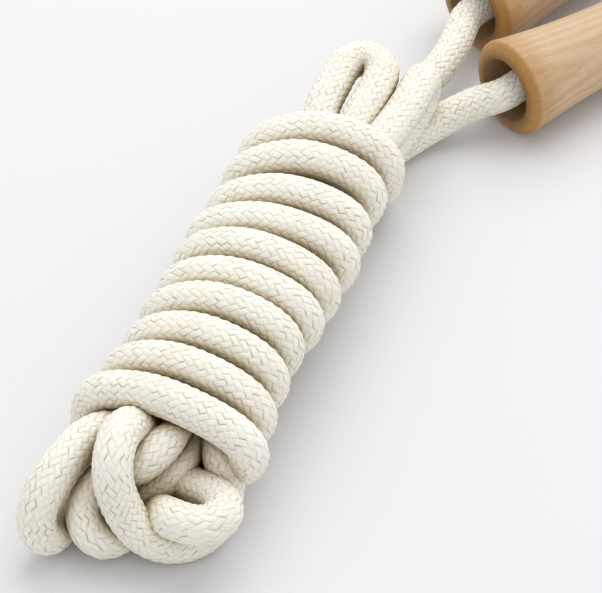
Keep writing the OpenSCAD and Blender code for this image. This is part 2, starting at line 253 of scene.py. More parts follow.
def add_node(tree, kind, inputs=(), **settings):
    """Adds a node with its own settings, and fills its inputs with values or links."""
    node = tree.nodes.new(kind)
    for name, value in settings.items():
        setattr(node, name, value)
    for key, value in dict(inputs).items():
        if isinstance(value, bpy.types.NodeSocket):
            tree.links.new(value, node.inputs[key])
        else:
            node.inputs[key].default_value = value
    return node


def new_material(name):
    """An empty node material."""
    material = bpy.data.materials.new(name)
    material.use_nodes = True
    material.node_tree.nodes.clear()
    return material, material.node_tree


def add_object(name, data):
    """A new object in the scene."""
    thing = bpy.data.objects.new(name, data)
    bpy.context.scene.collection.objects.link(thing)
    return thing


def add_aimed(name, data, at, target):
    """A new camera or lamp that stands at one point and looks at another."""
    thing = add_object(name, data)
    thing.location = at
    thing.rotation_euler = (Vector(target) - Vector(at)).to_track_quat("-Z", "Y").to_euler()
    return thing


def smooth_mesh(name, points, faces):
    """A mesh with smooth shading."""
    mesh = bpy.data.meshes.new(name)
    mesh.from_pydata(points, [], faces)
    mesh.polygons.foreach_set("use_smooth", np.ones(len(mesh.polygons), bool))
    return mesh


def dress(node, material):
    """Gives a CAD node its material."""
    slots = NODES[node].data.materials
    slots.clear()
    slots.append(material)


def cotton_braid(name, rope):
    """Braided cotton cord, undyed: matt soft yarn laid two over two, four plies in each strand, with a faint sheen.
    Painted shade darkens the seams, the ply grooves and a few crossings, shown as small dark pits; loose fibres
    blur the seams. Painted shade from ambient occlusion is warm yellow where the rope lies against itself and dark
    brown where loops close over each other."""
    material, tree = new_material(name)
    lattice = add_node(tree, "ShaderNodeUVMap", uv_map="Braid")
    ways = add_node(tree, "ShaderNodeSeparateXYZ", {0: lattice.outputs[0]})
    first_no, second_no, in_first, in_second = (
        add_node(tree, "ShaderNodeMath", {0: ways.outputs[i]}, operation=part).outputs[0]
        for part in ("FLOOR", "FRACT") for i in (0, 1))
    crossing = add_node(tree, "ShaderNodeMath", {0: first_no, 1: second_no}, operation="ADD").outputs[0]
    phase = add_node(tree, "ShaderNodeMath", {0: crossing, 1: REPEAT}, operation="FLOORED_MODULO").outputs[0]
    on_top = add_node(tree, "ShaderNodeMath", {0: phase, 1: (REPEAT - 1) / 2}, operation="GREATER_THAN").outputs[0]
    across, along, strand_no = (
        add_node(tree, "ShaderNodeMix", {0: on_top, 2: of_first, 3: of_second}).outputs[0]
        for of_first, of_second in ((in_first, in_second), (in_second, in_first), (first_no, second_no)))
    half = add_node(tree, "ShaderNodeMath", {0: phase, 1: REPEAT / 2}, operation="FLOORED_MODULO").outputs[0]
    left = add_node(tree, "ShaderNodeMath", {0: 1, 1: along}, operation="SUBTRACT").outputs[0]
    from_end = add_node(tree, "ShaderNodeMix", {0: half, 2: along, 3: left}).outputs[0]
    from_side = add_node(tree, "ShaderNodeMath", {0: across, 1: 0.5}, operation="PINGPONG").outputs[0]

    # The leaf that a strand shows between two crossings, and the plies along it
    side = add_node(tree, "ShaderNodeMapRange", {0: from_side, 1: 0.0, 2: 0.22},
                    interpolation_type="SMOOTHSTEP").outputs[0]
    end = add_node(tree, "ShaderNodeMapRange", {0: from_end, 1: 0.0, 2: 0.4},
                   interpolation_type="SMOOTHSTEP").outputs[0]
    leaf = add_node(tree, "ShaderNodeMath", {0: side, 1: end}, operation="MULTIPLY").outputs[0]
    turns = add_node(tree, "ShaderNodeMath", {0: across, 1: PLIES * math.pi}, operation="MULTIPLY").outputs[0]
    wave = add_node(tree, "ShaderNodeMath", {0: turns}, operation="SINE").outputs[0]
    ply = add_node(tree, "ShaderNodeMath", {0: wave}, operation="ABSOLUTE").outputs[0]

    # Fibres are finer than the picture shows, so they are drawn half a millimetre wide
    place = add_node(tree, "ShaderNodeTexCoord").outputs["Object"]
    fibre, ageing, worn = (
        add_node(tree, "ShaderNodeTexNoise", {"Vector": place, "Scale": 1 / size, "Detail": detail}).outputs[0]
        for size, detail in ((0.5 * MM, 3), (18 * MM, 3), (5 * MM, 2)))
    strand_tone = add_node(tree, "ShaderNodeTexWhiteNoise", {"W": strand_no}, noise_dimensions="1D").outputs[0]
    leaf_no = add_node(tree, "ShaderNodeCombineXYZ", {0: first_no, 1: second_no}).outputs[0]
    leaf_tone = add_node(tree, "ShaderNodeTexWhiteNoise", {"Vector": leaf_no}, noise_dimensions="2D").outputs[0]
    aged = add_node(tree, "ShaderNodeMapRange", {0: ageing, 1: 0.35, 2: 0.75}).outputs[0]
    mixed = add_node(tree, "ShaderNodeMath", {0: aged, 1: strand_tone}, operation="MULTIPLY").outputs[0]
    yarn = add_node(tree, "ShaderNodeMix", {0: mixed, 6: (*rope.cotton, 1), 7: (*rope.aged, 1)},
                    data_type="RGBA").outputs[2]

    # Painted shade in the seams, which loose fibres mostly cover, in a few crossings as small dark pits, and along the
    # grooves between the plies
    seam = add_node(tree, "ShaderNodeMapRange", {0: side, 3: 0.23, 4: 0.0}).outputs[0]
    bare = add_node(tree, "ShaderNodeMapRange", {0: worn, 1: 0.42, 2: 0.66, 3: 0.1, 4: 1.2}).outputs[0]
    seams = add_node(tree, "ShaderNodeMath", {0: seam, 1: bare}, operation="MULTIPLY").outputs[0]
    corner = add_node(tree, "ShaderNodeMapRange", {0: from_end, 1: 0.0, 2: 0.3, 3: 1.0, 4: 0.0},
                      interpolation_type="SMOOTHSTEP").outputs[0]
    opened = add_node(tree, "ShaderNodeMapRange", {0: leaf_tone, 1: 0.45, 2: 0.95, 3: 0.12, 4: 0.85}).outputs[0]
    pits = add_node(tree, "ShaderNodeMath", {0: corner, 1: opened}, operation="MULTIPLY").outputs[0]
    lines = add_node(tree, "ShaderNodeMapRange", {0: ply, 1: 0.0, 2: 0.5, 3: 0.12, 4: 0.0}).outputs[0]
    seam_and_pit_shade = add_node(tree, "ShaderNodeMath", {0: seams, 1: pits}, operation="MAXIMUM").outputs[0]
    crease_shade = add_node(tree, "ShaderNodeMath", {0: seam_and_pit_shade, 1: lines}, operation="ADD", use_clamp=True).outputs[0]
    fuzzy = add_node(tree, "ShaderNodeMapRange", {0: fibre, 1: 0.3, 2: 0.7, 3: 0.5, 4: 1.3}).outputs[0]
    lint = add_node(tree, "ShaderNodeMapRange", {0: fibre, 1: 0.32, 2: 0.54, 3: 0.17, 4: 0.0}).outputs[0]
    shade = add_node(tree, "ShaderNodeMath", {0: crease_shade, 1: fuzzy, 2: lint}, operation="MULTIPLY_ADD",
                     use_clamp=True).outputs[0]
    seamed = add_node(tree, "ShaderNodeMix", {0: shade, 6: yarn, 7: (*rope.hollow, 1)}, data_type="RGBA").outputs[2]
    sunk = add_node(tree, "ShaderNodeMapRange", {0: pits, 1: 0.45, 2: 0.85, 3: 0.0, 4: 0.26}).outputs[0]
    middle = add_node(tree, "ShaderNodeMapRange", {0: from_side, 1: 0.16, 2: 0.42},
                      interpolation_type="SMOOTHSTEP").outputs[0]
    dots = add_node(tree, "ShaderNodeMath", {0: sunk, 1: middle}, operation="MULTIPLY").outputs[0]
    braided = add_node(tree, "ShaderNodeMix", {0: dots, 6: seamed, 7: (*rope.crease_shade, 1)}, data_type="RGBA").outputs[2]

    # Painted shade from ambient occlusion: warm yellow where the rope lies against itself, dark brown where loops close
    # over each other
    open_air = add_node(tree, "ShaderNodeAmbientOcclusion", {"Distance": 11 * MM}, samples=8,
                        only_local=True).outputs["AO"]
    warm_crease_shade = add_node(tree, "ShaderNodeMapRange", {0: open_air, 1: 0.1, 2: 0.7, 3: 0.85, 4: 0.0}).outputs[0]
    yellowed = add_node(tree, "ShaderNodeMix", {0: warm_crease_shade, 6: braided, 7: (*rope.warm_crease_shade, 1)},
                        data_type="RGBA").outputs[2]
    closed = add_node(tree, "ShaderNodeMapRange", {0: open_air, 1: 0.03, 2: 0.3, 3: 0.9, 4: 0.0}).outputs[0]
    colour = add_node(tree, "ShaderNodeMix", {0: closed, 6: yellowed, 7: (*rope.crease_shade, 1)},
                      data_type="RGBA").outputs[2]

    plied = add_node(tree, "ShaderNodeMath", {0: ply, 1: 0.3, 2: leaf}, operation="MULTIPLY_ADD").outputs[0]
    fuzz = add_node(tree, "ShaderNodeMath", {0: fibre, 1: 0.9, 2: plied}, operation="MULTIPLY_ADD").outputs[0]
    bump = add_node(tree, "ShaderNodeBump", {"Strength": 0.6, "Distance": 0.25 * MM, "Height": fuzz})
    shader = add_node(tree, "ShaderNodeBsdfPrincipled", {
        "Base Color": colour, "Roughness": 0.9, "Specular IOR Level": 0.15, "IOR": 1.53,
        "Sheen Weight": 0.15, "Sheen Roughness": 0.5, "Normal": bump.outputs[0]})
    add_node(tree, "ShaderNodeOutputMaterial", {0: shader.outputs[0]})
    return material


def spun_yarn(name, colour, spacing):
    """Spun cotton yarn or thread: matt, with a fine slanting twist whose grooves carry painted shade, and a few darker
    fibres.
    """
    material, tree = new_material(name)
    place = add_node(tree, "ShaderNodeTexCoord").outputs["Object"]
    twist = add_node(tree, "ShaderNodeTexWave", {
        "Vector": place, "Scale": WAVE / spacing, "Distortion": 1.5, "Detail": 1},
        wave_type="BANDS", bands_direction="DIAGONAL").outputs[0]
    fibre = add_node(tree, "ShaderNodeTexNoise", {"Vector": place, "Scale": 1 / (0.4 * MM), "Detail": 2}).outputs[0]
    depth = add_node(tree, "ShaderNodeMath", {0: twist, 1: fibre}, operation="MULTIPLY").outputs[0]
    # Painted shade in the grooves of the twist, where the bump is low, and darker where the fibre noise is low
    shade = add_node(tree, "ShaderNodeMapRange", {0: depth, 1: 0.0, 2: 0.4, 3: 0.4, 4: 0.0}).outputs[0]
    tone = add_node(tree, "ShaderNodeMix", {0: shade, 6: (*colour, 1), 7: darker(colour, 0.55)},
                    data_type="RGBA").outputs[2]
    bump = add_node(tree, "ShaderNodeBump", {"Strength": 0.5, "Distance": 0.1 * MM, "Height": depth})
    shader = add_node(tree, "ShaderNodeBsdfPrincipled", {
        "Base Color": tone, "Roughness": 0.85, "Specular IOR Level": 0.2, "Normal": bump.outputs[0]})
    add_node(tree, "ShaderNodeOutputMaterial", {0: shader.outputs[0]})
    return material


def turned_beech(name, mouth, yaw, look):
    """Beech, turned and sanded, with a thin satin oil: pale tan with faint growth rings and short darker flecks
    along the handle, brown where the lip shows the ends of the grain, and painted shade on the mouth's rim and inside,
    darkest at the rim."""
    material, tree = new_material(name)
    coords = add_node(tree, "ShaderNodeTexCoord")
    along = add_node(tree, "ShaderNodeMapping", {
        "Vector": coords.outputs["Object"], "Location": tuple(mouth * MM), "Rotation": (0, 0, yaw)},
        vector_type="TEXTURE").outputs[0]
    facing = add_node(tree, "ShaderNodeMapping", {
        "Vector": coords.outputs["Normal"], "Rotation": (0, 0, yaw)}, vector_type="TEXTURE").outputs[0]
    out_of_mouth = add_node(tree, "ShaderNodeSeparateXYZ", {0: facing}).outputs[0]

    # The pith lies outside the handle, so that the rings run along it as long bands
    off_pith = add_node(tree, "ShaderNodeMapping", {
        "Vector": along, "Location": (0, 22 * MM, -15 * MM), "Scale": (0.12, 1, 1)}, vector_type="POINT").outputs[0]
    rings = add_node(tree, "ShaderNodeTexWave", {
        "Vector": off_pith, "Scale": WAVE / look.ring_width, "Distortion": 2.5, "Detail": 3,
        "Detail Scale": 0.6}, wave_type="RINGS", rings_direction="X").outputs[0]
    stretched = add_node(tree, "ShaderNodeMapping", {"Vector": along, "Scale": (0.09, 1, 1)}).outputs[0]
    grain = add_node(tree, "ShaderNodeTexNoise", {
        "Vector": stretched, "Scale": 1 / (0.8 * MM), "Detail": 4, "Roughness": 0.6}).outputs[0]
    cells = add_node(tree, "ShaderNodeTexNoise", {
        "Vector": stretched, "Scale": 1 / look.fleck, "Detail": 1}).outputs[0]
    flecks = add_node(tree, "ShaderNodeMapRange", {0: cells, 1: 0.6, 2: 0.78, 3: 0.0, 4: 0.5},
                      interpolation_type="SMOOTHSTEP").outputs[0]
    patches = add_node(tree, "ShaderNodeTexNoise", {"Vector": stretched, "Scale": 1 / (7 * MM), "Detail": 2}).outputs[0]
    banded = add_node(tree, "ShaderNodeMath", {0: rings, 1: 0.4}, operation="MULTIPLY").outputs[0]
    patched = add_node(tree, "ShaderNodeMath", {0: patches, 1: 0.5, 2: banded}, operation="MULTIPLY_ADD").outputs[0]
    late = add_node(tree, "ShaderNodeMath", {0: patched, 1: grain}, operation="MULTIPLY").outputs[0]
    lateness = add_node(tree, "ShaderNodeMapRange", {0: late, 1: 0.05, 2: 0.45}).outputs[0]
    body = add_node(tree, "ShaderNodeMix", {0: lateness, 6: (*look.wood, 1), 7: (*look.late_wood, 1)},
                    data_type="RGBA").outputs[2]
    flecked = add_node(tree, "ShaderNodeMix", {0: flecks, 6: body, 7: darker(look.late_wood, 0.6)},
                       data_type="RGBA").outputs[2]

    # The lip is cut across the grain, and painted shade darkens its inner rim
    cut = add_node(tree, "ShaderNodeMapRange", {0: out_of_mouth, 1: -0.1, 2: -0.75, 3: 0.0, 4: 1.0},
                   interpolation_type="SMOOTHSTEP").outputs[0]
    end_tone = add_node(tree, "ShaderNodeMapRange", {0: grain, 1: 0.3, 2: 0.7, 3: 0.75, 4: 1.0}).outputs[0]
    cut_share = add_node(tree, "ShaderNodeMath", {0: cut, 1: end_tone}, operation="MULTIPLY").outputs[0]
    off_axis = add_node(tree, "ShaderNodeVectorMath", {0: along, 1: (0, 1, 1)}, operation="MULTIPLY").outputs[0]
    reach = add_node(tree, "ShaderNodeVectorMath", {0: off_axis}, operation="LENGTH").outputs[1]
    outer = add_node(tree, "ShaderNodeMapRange", {0: reach, 1: 8.6 * MM, 2: 12.0 * MM},
                     interpolation_type="SMOOTHSTEP").outputs[0]
    lip = add_node(tree, "ShaderNodeMix", {0: outer, 6: darker(look.end_grain, 0.45), 7: (*look.end_grain, 1)},
                   data_type="RGBA").outputs[2]
    ended = add_node(tree, "ShaderNodeMix", {0: cut_share, 6: flecked, 7: lip}, data_type="RGBA").outputs[2]

    # The wood is browner near the lip, and painted shade darkens the mouth's inside, whose normals face the axis
    from_mouth = add_node(tree, "ShaderNodeSeparateXYZ", {0: along}).outputs[0]
    near_lip = add_node(tree, "ShaderNodeMapRange", {0: from_mouth, 1: 3 * MM, 2: 11 * MM, 3: 0.6, 4: 0.0},
                        interpolation_type="SMOOTHSTEP").outputs[0]
    lip_browning = add_node(tree, "ShaderNodeMath", {0: near_lip, 1: end_tone}, operation="MULTIPLY").outputs[0]
    browned = add_node(tree, "ShaderNodeMix", {0: lip_browning, 6: ended, 7: lip}, data_type="RGBA").outputs[2]
    outward = add_node(tree, "ShaderNodeVectorMath", {0: off_axis}, operation="NORMALIZE").outputs[0]
    facing_out = add_node(tree, "ShaderNodeVectorMath", {0: outward, 1: facing}, operation="DOT_PRODUCT").outputs[1]
    inward = add_node(tree, "ShaderNodeMapRange", {0: facing_out, 1: -0.1, 2: -0.5},
                      interpolation_type="SMOOTHSTEP").outputs[0]
    deep = add_node(tree, "ShaderNodeMapRange", {0: from_mouth, 1: 0.0, 2: 8 * MM, 3: 0.1, 4: 0.8}).outputs[0]
    inside = add_node(tree, "ShaderNodeMath", {0: inward, 1: deep}, operation="MULTIPLY").outputs[0]
    colour = add_node(tree, "ShaderNodeMix", {0: inside, 6: browned, 7: darker(look.end_grain, 0.5)},
                      data_type="RGBA").outputs[2]
    rough = add_node(tree, "ShaderNodeMapRange", {0: grain, 1: 0.3, 2: 0.7, 3: 0.42, 4: 0.55}).outputs[0]
    bump = add_node(tree, "ShaderNodeBump", {"Strength": 0.25, "Distance": 0.1 * MM, "Height": grain})
    shader = add_node(tree, "ShaderNodeBsdfPrincipled", {
        "Base Color": colour, "Roughness": rough, "Specular IOR Level": 0.35, "IOR": 1.5,
        "Normal": bump.outputs[0]})
    add_node(tree, "ShaderNodeOutputMaterial", {0: shader.outputs[0]})
    return material


def zinc_steel(name, look):
    """Zinc-plated steel, stamped: a dull grey metal with a cloudy plating and fine scuffs."""
    material, tree = new_material(name)
    place = add_node(tree, "ShaderNodeTexCoord").outputs["Object"]
    cloud, scuff = (
        add_node(tree, "ShaderNodeTexNoise", {"Vector": place, "Scale": 1 / size, "Detail": detail}).outputs[0]
        for size, detail in ((3 * MM, 3), (0.4 * MM, 2)))
    colour = add_node(tree, "ShaderNodeMix", {0: cloud, 6: (*look.steel, 1), 7: darker(look.steel, 0.7)},
                      data_type="RGBA").outputs[2]
    rough = add_node(tree, "ShaderNodeMapRange", {0: scuff, 1: 0.3, 2: 0.7, 3: 0.3, 4: 0.5}).outputs[0]
    bump = add_node(tree, "ShaderNodeBump", {"Strength": 0.2, "Distance": 0.05 * MM, "Height": scuff})
    shader = add_node(tree, "ShaderNodeBsdfPrincipled", {
        "Base Color": colour, "Metallic": 1.0, "Roughness": rough, "Normal": bump.outputs[0]})
    add_node(tree, "ShaderNodeOutputMaterial", {0: shader.outputs[0]})
    return material


def turned(points, angle):
    """Points turned about Z."""
    points = np.asarray(points, float)
    c, s = math.cos(angle), math.sin(angle)
    return np.stack([points[..., 0] * c - points[..., 1] * s, points[..., 0] * s + points[..., 1] * c,
                     points[..., 2]], -1)


def entry_points(mouth, yaw, entry):
    """Points of a rope that leaves a mouth, in the hank's frame."""
    inside = mouth + turned([[x, 0, z] for x, z in entry], yaw)
    return turned(inside - HANK_AT, -HANK_TURN).tolist()


def turn_points():
    """The turns around the folds, from the nearest one's left side to the farthest one's right side."""
    points = []
    for k in range((len(TURN_AT) - 1) * TURN_STEPS + TURN_STEPS // 2 + 1):
        n, part = divmod(k, TURN_STEPS)
        c, s = math.cos(math.tau * part / TURN_STEPS), math.sin(math.tau * part / TURN_STEPS)
        half = TURN_RIGHT[n] if c < 0 else TURN_LEFT[n + part * 2 // (TURN_STEPS + 1)]
        left, right = TURN_AT[n] - TURN_LEAN[n] / 2, TURN_AT[n] + TURN_LEAN[n] / 2
        if part <= TURN_STEPS // 2:
            x = (left + right - (right - left) * c) / 2
            y = TURN_Y + half * math.copysign(abs(c) ** SIDE_POWER, c)
            z = TURN_MIDDLE_Z + (TURN_TOP[n] - TURN_MIDDLE_Z) * max(s, 0) ** TOP_POWER
        else:
            next_left = TURN_AT[n + 1] - TURN_LEAN[n + 1] / 2
            x = right + (next_left - right) * (2 * part / TURN_STEPS - 1)
            y = TURN_Y + half * math.copysign(abs(c) ** FOOT_POWER, c)
            z = TURN_MIDDLE_Z + (TURN_MIDDLE_Z - FLOOR_Z) * s
        points.append([x, y, z])
    return points


def fold(start, end):
    """Points of a folded run inside the turns, between two loops."""
    start, end = np.array(start, float), np.array(end, float)
    return [(start + (end - start) * i / FOLD_STEPS).tolist() for i in range(1, FOLD_STEPS)]


def rope_route():
    """The whole free rope from the near mouth to the far one, in the hank's frame, and where it is folded."""
    loops = [
        entry_points(NEAR_MOUTH, NEAR_YAW, NEAR_ENTRY) + NEAR_LEAD + turn_points()[::-1] + LEFT_BIGHT[::-1],
        LOW_BIGHT[::-1], SMALL_BIGHT[::-1], TOP_BIGHT[::-1], BIG_BIGHT, RIGHT_BIGHT[::-1], INNER_BIGHT[::-1],
        FAR_LEAD[::-1] + entry_points(FAR_MOUTH, FAR_YAW, FAR_ENTRY[::-1]),
    ]
    points, folded = [], []
    for i, loop in enumerate(loops):
        inside = fold(loop[-1], loops[i + 1][0]) if i + 1 < len(loops) else []
        points += loop + inside
        folded += [0] * (len(loop) - 1) + [1] * (len(inside) + 1)
    return np.array(points, float), np.array(folded, float)


def through(points, values, step):
    """A smooth curve through points, a centripetal spline, and the values along it, in even steps."""
    ends = np.vstack([2 * points[0] - points[1], points, 2 * points[-1] - points[-2]])
    curve, carried = [], []
    for i in range(1, len(ends) - 2):
        p0, p1, p2, p3 = ends[i - 1:i + 3]
        gaps = [max(1e-6, np.linalg.norm(b - a)) ** 0.5 for a, b in ((p0, p1), (p1, p2), (p2, p3))]
        t0, t1 = 0.0, gaps[0]
        t2, t3 = t1 + gaps[1], t1 + gaps[1] + gaps[2]
        n = max(2, int(np.linalg.norm(p2 - p1) / step))
        t = np.linspace(t1, t2, n, endpoint=False)[:, None]
        a1 = (t1 - t) / (t1 - t0) * p0 + (t - t0) / (t1 - t0) * p1
        a2 = (t2 - t) / (t2 - t1) * p1 + (t - t1) / (t2 - t1) * p2
        a3 = (t3 - t) / (t3 - t2) * p2 + (t - t2) / (t3 - t2) * p3
        b1 = (t2 - t) / (t2 - t0) * a1 + (t - t0) / (t2 - t0) * a2
        b2 = (t3 - t) / (t3 - t1) * a2 + (t - t1) / (t3 - t1) * a3
        curve.append((t2 - t) / (t2 - t1) * b1 + (t - t1) / (t2 - t1) * b2)
        carried += [values[i - 1]] * n
    curve = np.vstack([*curve, points[-1:]])
    carried.append(values[-1])
    run = np.r_[0, np.cumsum(np.linalg.norm(np.diff(curve, axis=0), axis=1))]
    s = np.linspace(0, run[-1], round(run[-1] / step) + 1)
    return np.stack([np.interp(s, run, curve[:, k]) for k in range(3)], 1), np.interp(s, run, carried)


def eased(points, reach, step):
    """Points smoothed over a reach, as a limp rope rounds its bends, by a bell curve cut off at three reaches."""
    k = int(3 * reach / step)
    weights = np.exp(-0.5 * (np.arange(-k, k + 1) * step / reach) ** 2)
    weights /= weights.sum()
    padded = np.vstack([2 * points[0] - points[k:0:-1], points, 2 * points[-1] - points[-2:-k - 2:-1]])
    return np.stack([np.convolve(padded[:, i], weights, "valid") for i in range(points.shape[1])], 1)


def carried_normals(path):
    """Tangents along a path, and normals carried along it without twist, by two reflections at each step."""
    tangents = np.gradient(path, axis=0)
    tangents /= np.linalg.norm(tangents, axis=1)[:, None]
    normals = np.zeros_like(path)
    start = np.array([0.0, 0.0, 1.0])
    if abs(tangents[0] @ start) > 0.9:
        start = np.array([0.0, 1.0, 0.0])
    normals[0] = start - (start @ tangents[0]) * tangents[0]
    normals[0] /= np.linalg.norm(normals[0])
    for i in range(len(path) - 1):
        step = path[i + 1] - path[i]
        v = normals[i] - 2 / (step @ step) * (step @ normals[i]) * step
        t = tangents[i] - 2 / (step @ step) * (step @ tangents[i]) * step
        back = tangents[i + 1] - t
        normals[i + 1] = v - (2 / (back @ back) * (back @ v) * back if back @ back > 1e-18 else 0)
    return tangents, normals


def braid_height(first, second):
    """Height of the strands that run two over two, from 0 in the hollows to 1 on the crowns."""
    i, j = np.floor(first), np.floor(second)
    upper = np.sin(np.pi * (first - i)) * np.sin(np.pi / 2 * ((second + i) % REPEAT))
    lower = np.sin(np.pi * (second - j)) * np.sin(np.pi / 2 * ((first + j - REPEAT // 2) % REPEAT))
    return np.maximum(np.maximum(upper, lower), 0)


def tube_faces(rows, count):
    """Faces of a braided tube, with the place around it and the row of each corner: the diamonds of the braid, the
    triangles that fill its first and last rows, and the caps, whose two hubs follow the vertices of the rows."""
    k, row, last = np.arange(count), np.arange(1, rows - 1)[:, None], rows - 1
    between = k + row % 2
    faces, around, along = [], [], []
    for corners in ([(row, k), (row - 1, between), (row, k + 1), (row + 1, between)],
                    [(0, k), (0, k + 1), (1, k)],
                    [(last, k + 1), (last, k), (last - 1, k)]):
        vertices = np.stack([r * count + n % count for r, n in corners], -1)
        faces += vertices.reshape(-1, len(corners)).tolist()
        around.append(np.stack([n + 0.5 * (r % 2) for r, n in corners], -1).ravel())
        along.append(np.stack([r + 0.0 * n for r, n in corners], -1).ravel())
    caps = [(0, k + 1, k, -HUB_ROWS), (last, k, k + 1, last + HUB_ROWS)]
    for hub, (r, n, m, hub_row) in enumerate(caps):
        vertices = [r * count + n % count, r * count + m % count, np.full(count, rows * count + hub)]
        faces += np.stack(vertices, 1).tolist()
        around.append(np.stack([n, m, k + 0.5], 1).ravel())
        along.append(np.tile([r, r, hub_row], count))
    return faces, np.concatenate(around), np.concatenate(along)


def map_braid(mesh, faces, around, along, rows, count, strips):
    """Two maps: the strands of the braid for the material, and flat strips for a baked picture."""
    lattice = mesh.uv_layers.new(name="Braid")
    lattice.data.foreach_set("uv", np.stack([around / 2 + along / ROWS, around / 2 - along / ROWS], 1).ravel())
    corners = np.array([len(face) for face in faces])
    face_row = np.add.reduceat(along, np.r_[0, np.cumsum(corners)[:-1]]) / corners
    per_strip = rows / strips
    strip = np.repeat(np.clip(np.floor(face_row / per_strip), 0, strips - 1), corners)
    across = (around + 0.5) / (count + 2)
    down = (along - strip * per_strip + SPARE_ROWS) / (per_strip + 2 * SPARE_ROWS)
    u = (strip + SIDE_MARGIN + (1 - 2 * SIDE_MARGIN) * across) / strips
    v = END_MARGIN + (1 - 2 * END_MARGIN) * down
    bake = mesh.uv_layers.new(name="OFBake")
    bake.data.foreach_set("uv", np.stack([u, v], 1).ravel())


def braided_tube(name, path, radius, rope, strips=1, stretch=1.0):
    """A mesh tube of braided strands along a path in metres. Its faces are the diamonds of the braid, so that
    their edges follow the strands. Stretch draws the braid longer where nothing shows it."""
    steps = np.linalg.norm(np.diff(path, axis=0), axis=1)
    run = np.r_[0, np.cumsum(steps)]
    braided = np.r_[0, np.cumsum(steps / np.broadcast_to(stretch, len(path))[1:])]
    rows = int(braided[-1] / (rope.lay / ROWS)) // 2 * 2 + 1
    s = np.interp(np.linspace(0, braided[-1], rows), braided, run)
    line = np.stack([np.interp(s, run, path[:, k]) for k in range(3)], 1)
    thick = np.interp(s, run, radius)
    tangents, normals = carried_normals(line)
    sides = np.cross(tangents, normals)
    count = 2 * rope.strands
    row = np.arange(rows)[:, None]
    place = np.arange(count)[None, :] + 0.5 * (row % 2)
    height = braid_height(place / 2 + row / ROWS, place / 2 - row / ROWS)
    out = thick[:, None] - rope.relief * (1 - height)
    angle = (math.tau * place / count)[..., None]
    rim = line[:, None, :] + out[..., None] * (np.cos(angle) * normals[:, None] + np.sin(angle) * sides[:, None])
    points = np.vstack([rim.reshape(-1, 3), line[:1], line[-1:]])
    faces, around, along = tube_faces(rows, count)
    mesh = smooth_mesh(name, points.tolist(), faces)
    map_braid(mesh, faces, around, along, rows, count, strips)
    mesh.validate()
    return add_object(name, mesh)


def round_tube(name, lines, radius, sides):
    """A mesh of round tubes with domed ends along lines in metres."""
    points, faces = [], []
    for line in lines:
        tangents, normals = carried_normals(line)
        across = np.cross(tangents, normals)
        thick = np.full(len(line), radius)
        thick[[0, -1]] *= DOME_SHARE
        start = len(points)
        for p, n, a, r in zip(line, normals, across, thick):
            for k in range(sides):
                angle = math.tau * k / sides
                points.append((p + r * (math.cos(angle) * n + math.sin(angle) * a)).tolist())
        for ring in range(start, len(points) - sides, sides):
            for k in range(sides):
                here, beside = ring + k, ring + (k + 1) % sides
                faces.append([here, beside, beside + sides, here + sides])
        faces.append([start + k for k in range(sides)][::-1])
        faces.append([len(points) - sides + k for k in range(sides)])
    return add_object(name, smooth_mesh(name, points, faces))


def in_handle(points, mouth, yaw):
    """Points in a handle's own frame, x from its mouth to its butt, in the row frame in metres."""
    return (mouth + turned(points, yaw)) * MM


class JUMPROPE_OT_stage(bpy.types.Operator):
    """Sets up the camera, the pale floor and the soft light"""
    bl_idname = "jumprope.stage"
    bl_label = "Stage"

    def execute(self, context):
        stage = context.scene.jumprope_stage
        lens = bpy.data.cameras.new("Camera")
        lens.lens, lens.sensor_width, lens.sensor_fit = stage.lens, SENSOR_WIDTH, "HORIZONTAL"
        lens.clip_start, lens.clip_end = CLIP_START, CLIP_END
        context.scene.camera = add_aimed("Camera", lens, stage.camera_at, stage.look_at)

        mesh = bpy.data.meshes.new("Floor")
        corners = [(x * FLOOR_HALF, y * FLOOR_HALF, 0) for x, y in ((-1, -1), (1, -1), (1, 1), (-1, 1))]
        mesh.from_pydata(corners, [], [(0, 1, 2, 3)])
        floor = add_object("Floor", mesh)

        # Painted board: matt white, with the faintest cloudiness
        material, tree = new_material("White painted board")
        place = add_node(tree, "ShaderNodeTexCoord").outputs["Object"]
        grit = add_node(tree, "ShaderNodeTexNoise", {"Vector": place, "Scale": 1 / (60 * MM), "Detail": 2}).outputs[0]
        colour = add_node(tree, "ShaderNodeMix", {0: grit, 6: (*stage.floor, 1), 7: darker(stage.floor, 0.985)},
                          data_type="RGBA").outputs[2]
        shader = add_node(tree, "ShaderNodeBsdfPrincipled", {
            "Base Color": colour, "Roughness": 0.9, "Specular IOR Level": 0.1})
        add_node(tree, "ShaderNodeOutputMaterial", {0: shader.outputs[0]})
        mesh.materials.append(material)

        lamp = bpy.data.lights.new("Softbox", "AREA")
        lamp.shape, lamp.size, lamp.energy = "DISK", SOFTBOX_WIDTH, stage.softbox
        add_aimed("Softbox", lamp, SOFTBOX_AT, stage.look_at)

        world = bpy.data.worlds.new("White room")
        world.use_nodes = True
        tree = world.node_tree
        tree.nodes.clear()
        rays = add_node(tree, "ShaderNodeLightPath").outputs
        direct = add_node(tree, "ShaderNodeMath", {0: rays["Is Camera Ray"], 1: rays["Is Glossy Ray"]},
                          operation="MAXIMUM").outputs[0]
        seen = add_node(tree, "ShaderNodeMath", {0: direct, 1: rays["Is Transmission Ray"]},
                        operation="MAXIMUM").outputs[0]
        strength = add_node(tree, "ShaderNodeMix", {0: seen, 2: stage.room, 3: SEEN_ROOM}).outputs[0]
        sky = add_node(tree, "ShaderNodeBackground", {"Color": (1, 1, 1, 1), "Strength": strength})
        add_node(tree, "ShaderNodeOutputWorld", {0: sky.outputs[0]})
        context.scene.world = world
        context.scene.view_settings.view_transform = "Standard"
        return {"FINISHED"}


